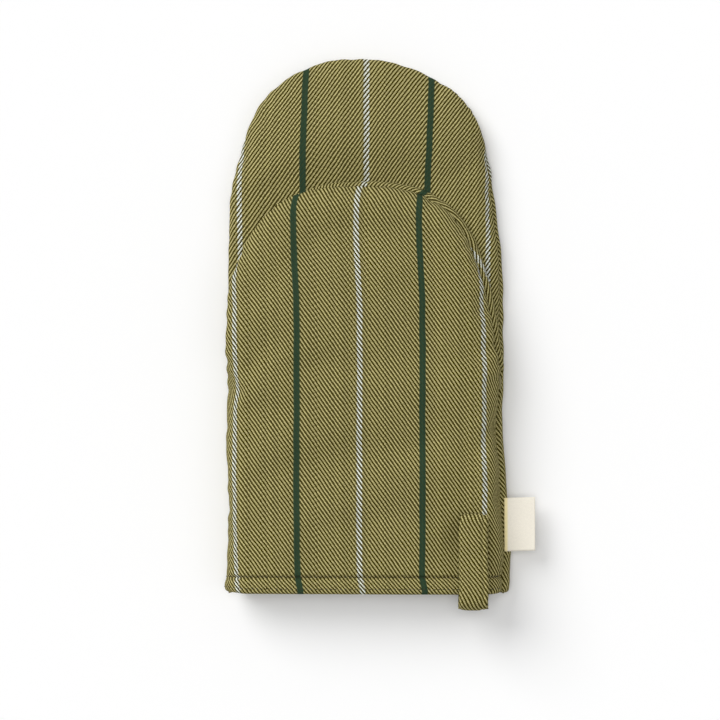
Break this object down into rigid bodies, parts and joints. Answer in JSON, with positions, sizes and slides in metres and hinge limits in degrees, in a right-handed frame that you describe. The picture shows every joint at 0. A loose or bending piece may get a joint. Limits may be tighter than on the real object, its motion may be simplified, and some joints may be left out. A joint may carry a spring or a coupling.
{
  "type": "oven glove",
  "caption": "Padded oven glove with a hand pocket, a thumb pocket that opens at the crotch, a hemmed cuff, a hanging loop and a bare side label.",
  "frame": {"origin": "on the flat outer face of the back panel, on the glove's middle line, half way between the cuff edge and the finger tips", "axes": "+Y from the cuff to the finger tips, +X across the glove towards the label side as seen from the front, +Z out of the front"},
  "size_m": [0.198, 0.35, 0.043],
  "materials": {
    "twill": "heavy olive twill with white and dark green stripes",
    "wadding": "soft cotton wadding",
    "lining": "plain olive cotton lining",
    "thread": "dark olive sewing thread",
    "tape": "folded olive twill tape",
    "label": "smooth cream ribbon, bare"
  },
  "bodies": {
    "hand": {"back_outer": "twill", "back_wadding": "wadding", "back_lining": "lining", "palm_outer": "twill", "palm_wadding": "wadding", "palm_lining": "lining", "cuff_front_outer": "twill", "cuff_front_wadding": "wadding", "cuff_front_lining": "lining", "hand_seam_thread": "thread", "cuff_seam_thread_right": "thread", "cuff_seam_thread_left": "thread", "crotch_tack_right": "thread", "crotch_tack_left": "thread", "front_hem_stitch": "thread", "back_hem_stitch": "thread", "loop_tail": "tape"},
    "thumb": {"thumb_front_outer": "twill", "thumb_front_wadding": "wadding", "thumb_front_lining": "lining", "thumb_palm_outer": "twill", "thumb_palm_wadding": "wadding", "thumb_palm_lining": "lining", "thumb_seam_thread": "thread"},
    "loop": {"hanging_loop": "tape"},
    "label": {"side_label": "label"}
  },
  "joints": [
    {"name": "thumb_opening", "type": "hinge", "parent": "hand", "child": "thumb", "pos_m": [0, -0.033, 0.035], "axis": [1, 0, 0], "range_deg": [0, 75]},
    {"name": "loop_flip", "type": "hinge", "parent": "hand", "child": "loop", "pos_m": [0.0686, -0.1785, 0.025], "axis": [1, 0, 0], "range_deg": [0, 175]},
    {"name": "label_flap", "type": "hinge", "parent": "hand", "child": "label", "pos_m": [0.08972, -0.1265, 0.0163], "axis": [0, 1, 0], "range_deg": [-60, 60], "stiffness_Nm_per_rad": 0.001}
  ]
}
